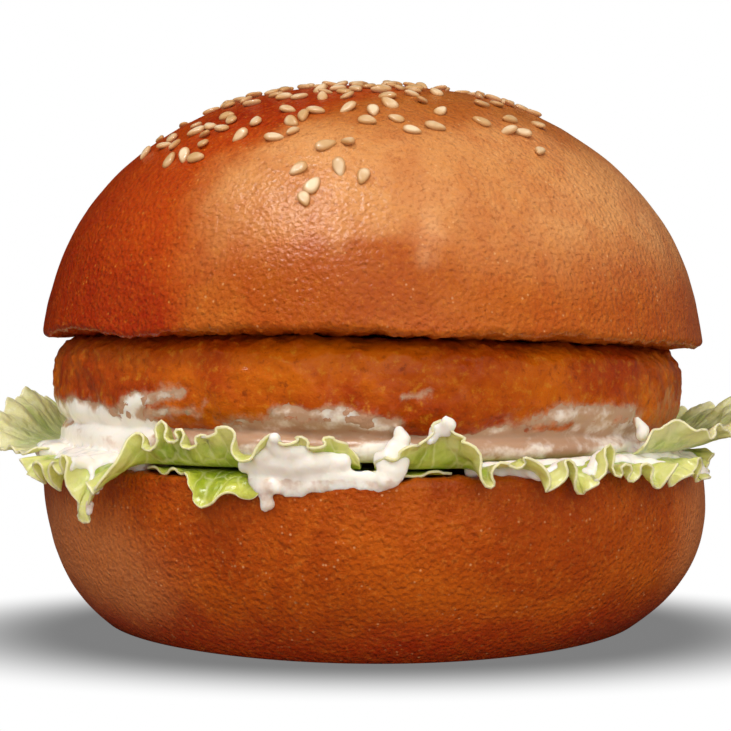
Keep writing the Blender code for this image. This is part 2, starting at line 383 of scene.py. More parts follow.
def crown_material():
    """Egg-washed crust: deep brown at the left, tan over the front and right, with darker patches. The tan
    over the front and right is a painted reflection of a broad soft light, with a painted gap and a painted
    glint in it; at the back the tan is the crust's own tone.
    """
    material, tree, shader = new_material("crown_crust")
    where = object_coordinates(tree)
    uneven = wavering(tree, where, 0.018, 0.016)
    fine = wavering(tree, uneven, 0.004, 0.003)
    height = axis_value(tree, uneven, "Z")
    blotches = ramp(tree, noise_texture(tree, where, 0.020, 3, 0.55), 0.36, 0.66)
    deep = mix(tree, blotches, (0.34, 0.022, 0.0002, 1), (0.46, 0.058, 0.0002, 1))
    # Painted sheen: the tan is paler higher up, where the light from above falls, and darker again near the
    # top, where the painted reflection ends.
    low_tan = mix(tree, blotches, (0.44, 0.075, 0.004, 1), (0.50, 0.115, 0.010, 1))
    high_tan = mix(tree, blotches, (0.66, 0.265, 0.078, 1), (0.73, 0.325, 0.110, 1))
    tan = mix(tree, ramp(tree, height, 0.049, 0.066), low_tan, high_tan)
    tan = mix(tree, ramp(tree, height, 0.0725, 0.0815), tan, (0.45, 0.125, 0.016, 1))
    # Painted reflection: over the front and right the tan stands in for the reflection of a broad soft light;
    # at the back the tan is the crust's own tone, in random patches.
    front = patch(tree, fine, (0.021, -0.034, 0.050), (0.050, 0.060, 0.038), 0.88, 1.06)
    back = ramp(tree, noise_texture(tree, uneven, 0.045, 3, 0.5), 0.46, 0.58)
    behind = ramp(tree, axis_value(tree, where, "Y"), 0.004, 0.030)
    back = math_node(tree, "MULTIPLY", back, behind)
    reflection_and_tan = math_node(tree, "MAXIMUM", front, back)
    colour = mix(tree, reflection_and_tan, deep, tan)
    # A painted gap in the reflection: a darker patch where the reflection breaks.
    painted_reflection_gap = patch(tree, fine, (-0.003, -0.054, 0.0525), (0.0170, 0.014, 0.0068), 0.75, 1.12)
    colour = tinted(tree, painted_reflection_gap, 0.85, colour, (0.41, 0.076, 0.003, 1))
    # A painted glint: a small paler patch in the reflection.
    painted_glint = patch(tree, fine, (0.0086, -0.052, 0.0585), (0.0026, 0.010, 0.0050), 0.3, 1.3)
    colour = tinted(tree, painted_glint, 0.45, colour, (0.84, 0.42, 0.18, 1))
    mottle = ramp(tree, noise_texture(tree, where, 0.0020, 4, 0.65), 0.40, 0.75, 0.0, 0.22)
    colour = mix(tree, mottle, colour, (0.60, 0.16, 0.006, 1))
    streaks = ramp(tree, noise_texture(tree, where, 0.0075, 5, 0.7), 0.58, 0.40, 0.0, 0.24)
    colour = mix(tree, streaks, colour, (0.42, 0.050, 0.002, 1))
    colour = grained(tree, where, speckled(tree, where, colour, (0.88, 0.50, 0.22, 1), 0.45))
    warmed = mix(tree, 1.0, colour, (1.0, 0.76, 0.22, 1), "MULTIPLY")
    colour = mix(tree, reflection_and_tan, warmed, colour)
    tree.links.new(colour, shader.inputs["Base Color"])
    crust_grain(tree, where, shader)
    return material


def heel_material():
    """Duller crust: brown, with paler sides and a darker, redder base. The paler sides are painted light; the
    darker base is partly the baked bottom and partly painted shade.
    """
    material, tree, shader = new_material("heel_crust")
    where = object_coordinates(tree)
    uneven = wavering(tree, where, 0.014, 0.010)
    blotches = ramp(tree, noise_texture(tree, uneven, 0.018, 4, 0.6, 0.6), 0.36, 0.66)
    colour = mix(tree, blotches, (0.36, 0.044, 0.0008, 1), (0.50, 0.088, 0.002, 1))
    # Painted light: paler at the left and the right, where the light and its reflection fall on the sides.
    painted_light_left = patch(tree, uneven, (-0.046, -0.030, 0.010), (0.024, 0.030, 0.013), 0.6, 1.2)
    painted_light_right = patch(tree, uneven, (0.054, -0.010, 0.014), (0.014, 0.040, 0.016), 0.6, 1.2)
    pale = math_node(tree, "MAXIMUM", painted_light_left, painted_light_right)
    colour = tinted(tree, pale, 0.7, colour, (0.68, 0.225, 0.066, 1))
    # Darker and redder towards the base: partly the baked bottom, partly painted shade.
    baked_and_shaded_base = ramp(tree, axis_value(tree, uneven, "Z"), 0.0095, 0.001, 0.0, 0.85)
    colour = mix(tree, baked_and_shaded_base, colour, (0.38, 0.022, 0.002, 1))
    mottle = ramp(tree, noise_texture(tree, where, 0.0022, 4, 0.65), 0.42, 0.75, 0.0, 0.25)
    colour = mix(tree, mottle, colour, (0.56, 0.13, 0.006, 1))
    colour = grained(tree, where, speckled(tree, where, colour, (0.80, 0.42, 0.18, 1), 0.5))
    tree.links.new(colour, shader.inputs["Base Color"])
    crust_grain(tree, where, shader)
    return material


def smear_share(tree, film, streaks):
    """How much of the breading a thin, streaky film of sauce hides."""
    return ramp(tree, math_node(tree, "ADD", film, streaks), 0.02, 0.36, 0.0, 0.88)


def breading_material():
    """Fried breading: orange-brown with darker and more golden patches, and crunchy grains that glint."""
    material, tree, shader = new_material("breading")
    where = object_coordinates(tree)
    patches = ramp(tree, noise_texture(tree, where, 0.012, 4, 0.6, 0.5), 0.35, 0.68)
    colour = mix(tree, patches, (0.36, 0.036, 0.0006, 1), (0.56, 0.112, 0.0008, 1))
    grains = noise_texture(tree, where, 0.0013, 4, 0.7)
    colour = mix(tree, ramp(tree, grains, 0.52, 0.75, 0.0, 0.6), colour, (0.62, 0.25, 0.015, 1))
    colour = mix(tree, ramp(tree, grains, 0.46, 0.28, 0.0, 0.6), colour, (0.16, 0.02, 0.002, 1))
    film = add(tree, "Attribute", attribute_name="film").outputs["Fac"]
    streaks = ramp(tree, noise_texture(tree, where, 0.0016, 4, 0.7), 0.35, 0.70, -0.10, 0.06)
    colour = mix(tree, smear_share(tree, film, streaks), colour, SMEAR_COLOUR)
    tree.links.new(colour, shader.inputs["Base Color"])
    crumbs = cell_distance(tree, where, 750.0, "SMOOTH_F1")
    normal = bump_from(tree, noise_texture(tree, where, 0.0025, 4, 0.6), 0.0009, 0.6)
    normal = bump_from(tree, crumbs, 0.0004, 0.5, normal)
    normal = bump_from(tree, noise_texture(tree, where, 0.0006, 2, 0.6), 0.00022, 0.6, normal)
    tree.links.new(normal, shader.inputs["Normal"])
    shader.inputs["Roughness"].default_value = 0.45
    shader.inputs["Specular IOR Level"].default_value = 0.25
    shader.inputs["Specular Tint"].default_value = WARM_TINT
    shader.inputs["Coat Weight"].default_value = 0.45
    shader.inputs["Coat Roughness"].default_value = 0.2
    return material


def lettuce_material(name, body, dark, margin_colour):
    """A leaf: green with faint branching veins, turning pale and yellow towards its frilly margin."""
    material, tree, shader = new_material(name)
    where = object_coordinates(tree)
    margin = add(tree, "Attribute", attribute_name="margin").outputs["Fac"]
    along = add(tree, "Attribute", attribute_name="along").outputs["Fac"]
    patches = ramp(tree, noise_texture(tree, where, 0.005, 4, 0.6, 0.4), 0.36, 0.66)
    colour = mix(tree, patches, body, dark)
    outwards = math_node(tree, "MULTIPLY", margin, 5.0)
    stretched = add(tree, "CombineXYZ", {"X": along, "Y": outwards}).outputs["Vector"]
    bent = wavering(tree, stretched, 2.2, 1.6)
    net = cell_distance(tree, bent, 0.42, "DISTANCE_TO_EDGE")
    veins = ramp(tree, net, 0.10, 0.0)
    colour = tinted(tree, veins, 0.30, colour, (0.86, 0.86, 0.52, 1))
    shift = ramp(tree, noise_texture(tree, where, 0.004, 3), 0.3, 0.7, -0.14, 0.14)
    uneven_margin = math_node(tree, "ADD", margin, shift)
    colour = mix(tree, ramp(tree, uneven_margin, 0.50, 0.98, 0.0, 0.9), colour, margin_colour)
    colour = mix(tree, ramp(tree, margin, 0.968, 0.992, 0.0, 0.70), colour, (0.92, 0.82, 0.50, 1))
    tree.links.new(colour, shader.inputs["Base Color"])
    normal = bump_from(tree, ramp(tree, net, 0.0, 0.30), 0.0005, 0.35)
    normal = bump_from(tree, noise_texture(tree, where, 0.0020, 3, 0.6), 0.0007, 0.5, normal)
    tree.links.new(normal, shader.inputs["Normal"])
    shader.inputs["Roughness"].default_value = 0.32
    shader.inputs["Subsurface Weight"].default_value = 0.45
    shader.inputs["Subsurface Radius"].default_value = (0.9, 1.0, 0.25)
    shader.inputs["Subsurface Scale"].default_value = 0.0018
    shader.inputs["Coat Weight"].default_value = 0.35
    shader.inputs["Coat Roughness"].default_value = 0.14
    return material


def sauce_material():
    """Mayonnaise, tinted by the breading where its film is thin."""
    material, tree, shader = new_material("mayonnaise")
    where = object_coordinates(tree)
    film = add(tree, "Attribute", attribute_name="film").outputs["Fac"]
    cloudy = ramp(tree, noise_texture(tree, where, 0.0025, 3, 0.6), 0.3, 0.7, -0.18, 0.18)
    depth = ramp(tree, math_node(tree, "ADD", film, cloudy), 0.28, 0.85)
    colour = mix(tree, depth, SMEAR_COLOUR, (0.95, 0.86, 0.76, 1))
    tree.links.new(colour, shader.inputs["Base Color"])
    normal = bump_from(tree, noise_texture(tree, where, 0.003, 3, 0.6), 0.0004, 0.3)
    tree.links.new(normal, shader.inputs["Normal"])
    shader.inputs["Roughness"].default_value = 0.24
    shader.inputs["Subsurface Weight"].default_value = 0.6
    shader.inputs["Subsurface Radius"].default_value = (1.0, 0.75, 0.5)
    shader.inputs["Subsurface Scale"].default_value = 0.0014
    return material


def seed_material():
    material, tree, shader = new_material("sesame")
    where = object_coordinates(tree)
    tone = ramp(tree, noise_texture(tree, where, 0.004, 2, 0.5), 0.35, 0.65)
    colour = mix(tree, tone, (0.62, 0.36, 0.15, 1), (0.86, 0.64, 0.40, 1))
    rim = add(tree, "Attribute", attribute_name="rim").outputs["Fac"]
    colour = tinted(tree, rim, 0.75, colour, (0.55, 0.25, 0.07, 1))
    tree.links.new(colour, shader.inputs["Base Color"])
    normal = bump_from(tree, noise_texture(tree, where, 0.0004, 2), 0.0001, 0.4)
    tree.links.new(normal, shader.inputs["Normal"])
    shader.inputs["Roughness"].default_value = 0.35
    shader.inputs["Coat Weight"].default_value = 0.3
    return material


# ---- Buns ----

CUT_EDGE_ROUNDING = 1.0 * MM
CROWN_POWERS = (2.28, 1.97)
CROWN_FLARE_HEIGHT = 8 * MM
DOME_SPACING = 1.35
HEEL_POWERS = (2.57, 2.32)
HEEL_WHOLE_DEPTH = 32.4 * MM


def rounded_cut(share, radius, rounding):
    edge_share = 0.2
    angle = np.clip(share / edge_share, 0, 1) * math.pi / 2
    inner = np.clip((1 - share) / (1 - edge_share), 0, 1)
    on_edge = share < edge_share
    across = np.where(on_edge, radius - rounding * (1 - np.cos(angle)), (radius - rounding) * inner)
    return across, np.where(on_edge, rounding * np.sin(angle), rounding)


def ragged_edge(azimuth, radius, seed):
    """How far the torn edge of a cut goes up or down at this azimuth."""
    rim = around(azimuth, radius, 0.0)
    return 0.55 * MM * noise(rim, 9 * MM, seed) + 0.33 * MM * fractal(rim, 1.9 * MM, seed + 3, 3, 0.65)


def crown_points(azimuth, share):
    low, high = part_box("bun_crown")
    cut = 0.5 * (low.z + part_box("chicken_patty")[1].z) + GAP
    height = high.z - cut
    radius = CROWN_RADIUS + CROWN_FLARE
    on_dome = share <= 0.5
    dome_share = np.clip(2 * share, 0, 1)
    angle = (1 - (1 - dome_share) ** DOME_SPACING) * math.pi / 2
    across, up = superellipse(angle, CROWN_RADIUS, height - CUT_EDGE_ROUNDING, *CROWN_POWERS)
    across += CROWN_FLARE * np.exp(-up / CROWN_FLARE_HEIGHT)
    cut_share = np.clip(2 * share - 1, 0, 1)
    cut_across, past = rounded_cut(cut_share, radius, CUT_EDGE_ROUNDING)
    across = np.where(on_dome, across, cut_across)
    rise = np.where(on_dome, up, -past) + CUT_EDGE_ROUNDING
    flat = around(azimuth, across, rise)
    lumps = 0.35 * MM * noise(flat, 20 * MM, 5) + 0.07 * MM * fractal(flat, 5 * MM, 9, 2)
    crumb = 0.5 * MM * fractal(flat, 1.6 * MM, 21, 3, 0.6) * smooth_step(cut_share, 0.1, 0.3)
    past_edge = np.where(on_dome, rise - CUT_EDGE_ROUNDING, radius - CUT_EDGE_ROUNDING - across)
    near_cut = np.exp(-np.clip(past_edge, 0, None) / (1.8 * MM))
    outline = waves(azimuth, (2, 0.006, 0.6), (3, 0.005, 2.1), (5, 0.003, 0.4))
    uneven = 1 + (1 - np.clip(rise / height, 0, 1)) * outline
    torn = near_cut * ragged_edge(azimuth, radius, 31)
    points = around(azimuth, across * uneven + lumps * (across / radius), cut + rise + lumps + crumb + torn)
    points[:, 0] += CROWN_LEAN * rise / height - CROWN_TO_LEFT
    return sloped(points, 0, 1 * MM)


def heel_points(azimuth, share):
    low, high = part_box("bun_heel")
    radius, height = (high.y - low.y) / 2, high.z
    top_share, wall_share, side_share = 0.30, 0.40, 0.88
    cut_across, past = rounded_cut(np.clip(1 - share / top_share, 0, 1), radius, CUT_EDGE_ROUNDING)
    wall_down = np.clip((share - top_share) / (wall_share - top_share), 0, 1)
    side_down = np.clip((share - wall_share) / (side_share - wall_share), 0, 1)
    last_angle = math.asin((HEEL_WIDEST / HEEL_WHOLE_DEPTH) ** (HEEL_POWERS[1] / 2))
    side_angle = math.pi / 2 - side_down * last_angle
    side_across, deep = superellipse(side_angle, radius, HEEL_WHOLE_DEPTH, *HEEL_POWERS)
    base_across = HEEL_BASE_RADIUS * np.clip((1 - share) / (1 - side_share), 0, 1)
    zones = [share <= top_share, share <= wall_share, share <= side_share]
    across = np.select(zones, [cut_across, radius, side_across], base_across)
    wall_z = (height - CUT_EDGE_ROUNDING) * (1 - wall_down) + HEEL_WIDEST * wall_down
    z = np.select(zones, [height - CUT_EDGE_ROUNDING + past, wall_z, HEEL_WIDEST - deep], 0.0)
    flat = around(azimuth, across, z)
    lumps = 0.35 * MM * noise(flat, 18 * MM, 45) + 0.07 * MM * fractal(flat, 5 * MM, 49, 2)
    above_base = smooth_step(z, 0, 4 * MM)
    torn = ragged_edge(azimuth, radius, 61) * np.exp(-np.clip(height - z, 0, None) / (1.2 * MM))
    torn *= smooth_step(across, 0.8 * radius, radius)
    crumb = -0.4 * MM * np.abs(fractal(flat, 1.6 * MM, 71, 3, 0.6)) * smooth_step(share, 0.27, 0.2)
    uneven = 1 + waves(azimuth, (2, 0.004, 1.9), (3, 0.004, 0.2), (5, 0.002, 1.1))
    lean = HEEL_LEAN * np.sin(math.pi * np.clip(z / height, 0, 1))
    z = np.maximum(0, z + 0.7 * torn + crumb)
    return around(azimuth, across * uneven + lumps * above_base, z) + np.outer(lean, (1, 0, 0))


def build_buns():
    crown = turned_mesh("crown", BUN_SEGMENTS, CROWN_RINGS, crown_points)
    new_piece("crown", crown, crown_material(), "crust", "bun_crown")
    heel = turned_mesh("heel", BUN_SEGMENTS, HEEL_RINGS, heel_points)
    new_piece("heel", heel, heel_material(), "crust", "bun_heel")


# ---- Chicken patty ----


def patty_sizes():
    """(radius, middle height, half thickness) of the level patty, before the stack's slope."""
    low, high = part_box("chicken_patty")
    tilt = STACK_SLOPE * (PATTY_RADIUS - PATTY_EDGE)
    return PATTY_RADIUS, (low.z + high.z) / 2, (high.z - low.z) / 2 - tilt


def patty_points(azimuth, angle, lift=0.0, roughness=1.0):
    """Points on the patty. The angle runs from 0, its top face's rim, to pi, its bottom face's rim,
    and beyond those, by up to 1, over the faces to their centres."""
    radius, middle, half = patty_sizes()
    edge_angle = np.clip(angle, 0, math.pi)
    quarter = np.minimum(edge_angle, math.pi - edge_angle)
    across, up = superellipse(quarter, PATTY_EDGE, half, 2.0, 3.0)
    side = np.where(edge_angle < math.pi / 2, 1.0, -1.0)
    past = np.clip(np.maximum(-angle, angle - math.pi), 0, 1)
    face_radius = (radius - PATTY_EDGE) * (1 - past)
    across = np.where(past > 0, 0.0, across)
    out = np.where(past > 0, 0.0, across / PATTY_EDGE)
    vertical = side * np.sqrt(np.clip(1 - out**2, 0, 1))
    uneven = 1 + waves(azimuth, (2, 0.004, 0.3), (5, 0.004, 1.7), (9, 0.003, 0.8))
    flat = around(azimuth, (face_radius + across) * uneven, middle + side * up)
    bumps = 0.42 * MM * fractal(flat, 6 * MM, 81, 2) + 0.20 * MM * fractal(flat, 1.8 * MM, 85, 3, 0.6)
    shoulder = np.clip(1.3 - np.abs(edge_angle - 0.9) * 1.1, 0, 1)
    grains = 0.55 * MM * np.clip(noise(flat, 1.3 * MM, 91) - 0.25, 0, 1) * (0.35 + shoulder)
    off = (bumps + grains) * roughness + lift
    normal = around(azimuth, out, vertical)
    return sloped(flat + normal * off[:, None] - (PATTY_TO_LEFT, 0, 0), 0, 1 * MM)


def set_film(mesh, depth):
    """Stores how deep the sauce is at each point, as a share of the depth that hides what is below."""
    set_attribute(mesh, "film", np.clip(depth / FILM_DEPTH, 0, 1))


def build_patty():
    def place(azimuth, share):
        return patty_points(azimuth, -0.6 + share * (math.pi + 1.2))

    mesh = turned_mesh("patty", PATTY_SEGMENTS, PATTY_RINGS, place)
    set_film(mesh, sauce_depth(*on_patty_side(get_points(mesh))))
    new_piece("patty", mesh, breading_material(), "breading", "chicken_patty")


# ---- Lettuce ----
# A leaf lies flat as far as LEAF_BEND_RADIUS. Past that it reaches out by its overhang, and its margin
# is frilled. Its bend is its steepest slope: a leaf that droops is steepest at its margin, and one that
# rises is steepest halfway and nearly level again at its margin.
# A lobe is (azimuth, width, change of overhang in mm, change of bend in degrees).

LEAVES = (
    {
        "node": "lettuce_inner",
        "span": (-36, 11),
        "height": 27.05,
        "overhang": 2.0,
        "bend": -6,
        "frill": 0.3,
        "ruffle": 0.5,
        "lobes": ((-23, 3, 5.5, -70), (-17, 3, 3.5, -66), (-11, 3, 1.5, -58)),
        "look": "dark",
    },
    {
        "node": "lettuce_left",
        "span": (-119, -62),
        "height": 28.65,
        "overhang": 8.5,
        "bend": -6,
        "frill": 0.9,
        "ruffle": 0.8,
        "lobes": ((-88, 9, 2.5, 42), (-102, 10, 4.5, 60)),
        "look": "pale",
    },
    {
        "node": "lettuce_front_left",
        "span": (-66, -2),
        "height": 27.85,
        "overhang": 6.4,
        "bend": 62,
        "frill": 1.1,
        "ruffle": 1.7,
        "lobes": (
            (-65, 4, 2.0, -104),
            (-58, 4, 1.0, -118),
            (-51, 3, 1.5, -126),
            (-46, 2, 1.0, -70),
            (-41.5, 2.4, 6.6, -160),
            (-37, 1.9, 3.8, -110),
            (-15, 5, 0.5, -22),
        ),
        "look": "green",
    },
    {
        "node": "lettuce_front_right",
        "span": (0, 74),
        "height": 27.85,
        "overhang": 6.2,
        "bend": 30,
        "frill": 1.0,
        "ruffle": 1.7,
        "lobes": (
            (9.0, 4.2, 2.6, 34),
            (15, 2.5, 0.0, -50),
            (23, 2.0, 0.6, -84),
            (29, 2.0, 0.9, -88),
            (36, 3, 0.5, -50),
            (42, 2.5, 1.2, -88),
            (48, 3, 1.0, -80),
            (56, 4, 1.5, -80),
            (66, 7, -2.2, -76),
        ),
        "look": "green",
    },
    {
        "node": "lettuce_right",
        "span": (43, 118),
        "height": 28.65,
        "overhang": 9.0,
        "bend": 30,
        "frill": 0.8,
        "ruffle": 0.8,
        "lobes": ((46, 3, -2.0, 45), (95, 14, 5.0, 12)),
        "look": "pale",
    },
    {
        "node": "lettuce_back",
        "span": (120, 239),
        "height": 27.85,
        "overhang": 7.0,
        "bend": 0,
        "frill": 1.9,
        "ruffle": 1.7,
        "lobes": (
            (132, 5, 3.0, 60),
            (150, 5, 2.0, -70),
            (168, 4, 3.5, -80),
            (190, 6, 1.0, 40),
            (214, 5, 3.0, -75),
        ),
        "look": "green",
    },
)
# The leaf's body, its darker patches and its margin.
LEAF_COLOURS = {
    "dark": ((0.36, 0.43, 0.02, 1), (0.20, 0.28, 0.01, 1), (0.64, 0.66, 0.10, 1)),
    "green": ((0.50, 0.58, 0.10, 1), (0.28, 0.40, 0.03, 1), (0.76, 0.74, 0.26, 1)),
    "pale": ((0.62, 0.66, 0.32, 1), (0.38, 0.47, 0.15, 1), (0.74, 0.70, 0.36, 1)),
}
FRILLS_IN_A_TURN = 46
FRILL_LEAN = 0.42
RUFFLES_IN_A_TURN = 92
RUFFLE_LEAN = 0.36
RISING_TURN = 0.92 * math.pi
BOW_STEPS = 12
LEAF_SHOWN_FROM = 44 * MM
LEAF_FLAT_SHARE = 0.16
LEAF_THICKNESS = 0.34 * MM


def frill_at(azimuth, size):
    """(along the margin, off the leaf) at these azimuths: a wave that leans over on both sides."""
    turn = np.radians(azimuth)
    phase = FRILLS_IN_A_TURN * turn + 1.3 * np.sin(5 * turn) + 0.9 * np.sin(13 * turn + 0.87)
    swell = 1 + 0.35 * np.sin(17 * turn + 0.35)
    return -FRILL_LEAN * size * np.sin(2 * phase), size * swell * np.sin(phase)


def ruffle_at(azimuth, size):
    """A finer, sharper wave on the frill."""
    turn = np.radians(azimuth)
    phase = RUFFLES_IN_A_TURN * turn + 1.5 * np.sin(11 * turn) + 1.1 * np.sin(19 * turn + 2.0)
    swell = 0.8 + 0.4 * np.sin(23 * turn + 1.1)
    pointed = 0.64 * np.arcsin(0.985 * np.sin(phase))
    return -RUFFLE_LEAN * size * np.sin(2 * phase), size * swell * pointed


def slope_at(out, bend):
    """The leaf's slopes in radians at shares of the way out to its margin."""
    return np.radians(bend) * np.where(bend > 0, np.sin(RISING_TURN * out), out)


def bow(out, bend):
    """(reach, rise) of the leaf as shares of its overhang, at shares of the way out to its margin."""
    reach, rise = np.zeros_like(out), np.zeros_like(out)
    for step in range(BOW_STEPS):
        slope = slope_at(out * (step + 0.5) / BOW_STEPS, bend)
        reach += np.cos(slope) * out / BOW_STEPS
        rise += np.sin(slope) * out / BOW_STEPS
    return reach, rise


def leaf_outline(leaf, azimuth):
    """(overhang, bend, how near a lobe's centre) of the leaf at these azimuths, with its lobes."""
    overhang = np.full_like(azimuth, leaf["overhang"] * MM)
    bend = np.full_like(azimuth, float(leaf["bend"]))
    lobed = np.zeros_like(azimuth)
    for centre, width, more_overhang, more_bend in leaf["lobes"]:
        here = bump(azimuth, centre, width)
        overhang += more_overhang * MM * here
        bend += more_bend * here
        lobed = np.maximum(lobed, here)
    return overhang, bend, lobed


def leaf_points(leaf, azimuth, share):
    """Points of a leaf at shares of the way from where it first shows, 0, to its margin, 1."""
    height = leaf["height"] * MM
    overhang, bend, lobed = leaf_outline(leaf, azimuth)
    rim = around(np.radians(azimuth), LEAF_BEND_RADIUS, height)
    overhang *= 1 + 0.10 * noise(rim, 5 * MM, 101) + 0.06 * noise(rim, 1.7 * MM, 103)
    out = np.clip((share - LEAF_FLAT_SHARE) / (1 - LEAF_FLAT_SHARE), 0, 1)
    slope = slope_at(out, bend)
    size = leaf["frill"] * MM * (1 - 0.3 * lobed)
    along, off = frill_at(azimuth, 0.8 * size * out**2)
    fine_along, fine_off = ruffle_at(azimuth, leaf["ruffle"] * MM * out**2.5)
    along, off = along + fine_along, off + fine_off
    blade = around(np.radians(azimuth), LEAF_BEND_RADIUS + overhang * out, height)
    crinkle = 0.6 * MM * noise(blade, 3.2 * MM, 107) + 0.25 * MM * fractal(blade, 1.4 * MM, 111, 2)
    off += out * crinkle
    reach, rise = bow(out, bend)
    radius = LEAF_BEND_RADIUS + overhang * reach - off * np.sin(slope)
    rise = overhang * rise + off * np.cos(slope)
    inner = LEAF_SHOWN_FROM + (LEAF_BEND_RADIUS - LEAF_SHOWN_FROM) * np.clip(share / LEAF_FLAT_SHARE, 0, 1)
    on_flat = share < LEAF_FLAT_SHARE
    radius = np.where(on_flat, inner, radius)
    rise = np.where(on_flat, 0, rise)
    return around(np.radians(azimuth) + np.where(on_flat, 0, along) / radius, radius, height + rise)


def build_leaf(leaf, look):
    first, last = leaf["span"]
    columns = int(math.radians(last - first) * LEAF_BEND_RADIUS / LEAF_COLUMN)

    def place(column, row):
        from_end = np.minimum(column, 1 - column) * columns * LEAF_COLUMN
        share = row**0.85 * (1 - 0.5 * np.exp(-from_end / (2.5 * MM)))
        return leaf_points(leaf, first + (last - first) * column, share)

    mesh = grid_mesh(leaf["node"], columns, LEAF_ROWS, place)
    points = get_points(mesh)
    rows = np.repeat(np.linspace(0, 1, LEAF_ROWS + 1), columns + 1)
    set_attribute(mesh, "margin", rows**0.85)
    set_attribute(mesh, "along", np.arctan2(points[:, 0], -points[:, 1]) * LEAF_BEND_RADIUS / MM)
    name = leaf["node"].replace("lettuce", "leaf")
    piece = new_piece(name, mesh, look, "lettuce", leaf["node"])
    thickness = piece.modifiers.new("Thickness", "SOLIDIFY")
    thickness.thickness = LEAF_THICKNESS
    thickness.offset = 0.0


def build_lettuce():
    looks = {name: lettuce_material("lettuce_" + name, *colours) for name, colours in LEAF_COLOURS.items()}
    for leaf in LEAVES:
        build_leaf(leaf, looks[leaf["look"]])


# ---- Mayonnaise ----
# Smears on the patty's side: (azimuth, height) of both ends, then half width and depth, in degrees and mm.

SMEARS = (
    (-80, 33.0, -64, 33.2, 1.7, 0.5),
    (-62, 32.8, -46, 31.9, 2.1, 0.9),
    (-46, 31.6, -37, 31.4, 1.6, 0.9),
    (-44, 32.6, -38.5, 36.0, 1.3, 0.55),
    (-39, 36.2, -29.5, 37.2, 1.0, 0.26),
    (-37, 34.0, -28, 34.7, 0.9, 0.22),
    (-28, 32.8, -25.5, 36.0, 0.7, 0.12),
    (-22, 32.6, -4, 33.4, 1.7, 0.20),
    (-14, 35.2, -3, 34.7, 0.9, 0.30),
    (-4, 34.3, 3.5, 33.4, 1.4, 0.34),
    (-22, 31.6, 3, 31.4, 1.4, 0.22),
    (5, 37.3, 9, 37.7, 0.6, 0.20),
    (15.5, 31.2, 24, 33.0, 1.4, 0.30),
    (22, 33.1, 32, 35.3, 1.5, 0.20),
    (31, 35.1, 47, 35.5, 1.4, 0.24),
    (36, 32.8, 48, 33.2, 2.1, 0.30),
    (19, 31.0, 50, 31.6, 1.7, 0.36),
    (84, 31.6, 98, 33.0, 1.6, 0.4),
    (104, 31.8, 124, 33.2, 2.0, 0.7),
    (140, 31.5, 160, 33.4, 1.8, 0.6),
    (160, 32.5, 178, 31.8, 1.6, 0.5),
    (192, 32.2, 214, 33.6, 2.1, 0.8),
    (226, 31.6, 244, 34.0, 1.4, 0.4),
    (250, 31.6, 272, 33.0, 1.8, 0.6),
)
UNDER_PATTY = 31.4 * MM
UNDER_DEPTH = 0.55 * MM
SAUCE_LAYER_RADIUS = 50.2 * MM
SAUCE_LAYER_BOTTOM = 28.3 * MM
# Strokes of sauce on the leaves: the leaf's node, then rows of (azimuth, share of the leaf, size in mm).
SAUCE_STROKES = {
    "lettuce_left": (
        ((-78, 0.16, 1.0), (-72, 0.3, 1.5), (-66, 0.34, 1.7), (-63, 0.4, 1.4)),
        ((-80, 0.1, 0.9), (-71, 0.18, 1.5), (-64, 0.2, 1.6)),
    ),
    "lettuce_front_left": (
        ((-62, 0.16, 1.5), (-56, 0.22, 2.0), (-50, 0.24, 2.0), (-44, 0.2, 1.8), (-38, 0.12, 1.3)),
        ((-58, 0.36, 1.4), (-53, 0.42, 1.6), (-48, 0.42, 1.6), (-44, 0.36, 1.4)),
        ((-49, 0.36, 1.7), (-47, 0.52, 1.5), (-45.5, 0.68, 1.3), (-45, 0.84, 1.0), (-44.5, 0.94, 0.7)),
        ((-39.5, 0.86, 0.7), (-40.5, 0.98, 0.8)),
        ((-44, 0.45, 0.9), (-42.5, 0.6, 0.8), (-42, 0.72, 0.6)),
        ((-18, 0.44, 1.2), (-13, 0.5, 1.5), (-9, 0.5, 1.5), (-5, 0.46, 1.2)),
        ((-15.5, 0.68, 1.0), (-12, 0.72, 1.1), (-9.5, 0.7, 0.9)),
        ((-14, 0.8, 0.8), (-13, 0.96, 0.8)),
    ),
    "lettuce_inner": (
        ((-16, 0.7, 1.1), (-14.5, 0.85, 1.2), (-14, 0.97, 1.1)),
        ((-13, 0.8, 0.9), (-9, 0.95, 0.9), (-5, 1.0, 0.8)),
    ),
    "lettuce_front_right": (
        ((6.8, 0.84, 0.8), (8.3, 0.92, 1.0), (9.4, 0.98, 1.0)),
        (
            (14, 0.2, 1.0), (22, 0.24, 1.4), (30, 0.24, 1.5),
            (38, 0.24, 1.6), (46, 0.22, 1.6), (54, 0.2, 1.4),
        ),
        ((22, 0.55, 0.8), (24.5, 0.62, 0.9), (27.5, 0.6, 0.8)),
        ((30, 0.66, 0.9), (33, 0.72, 0.8)),
        ((43, 0.4, 1.2), (45, 0.6, 1.0), (45.5, 0.78, 0.8)),
        ((52, 0.45, 1.2), (57, 0.5, 1.3), (62, 0.5, 1.1)),
        ((55, 0.7, 0.9), (57, 0.86, 0.9), (60, 0.72, 0.8)),
    ),
    "lettuce_right": (
        ((47, 0.1, 1.2), (53, 0.16, 1.4), (60, 0.14, 1.1)),
        ((98, 0.1, 1.2), (104, 0.22, 1.5), (110, 0.14, 1.2)),
    ),
    "lettuce_back": (
        ((150, 0.2, 1.3), (156, 0.34, 1.7), (163, 0.4, 1.5), (165, 0.62, 1.1)),
        ((195, 0.18, 1.3), (204, 0.26, 1.6), (214, 0.3, 1.3)),
    ),
}
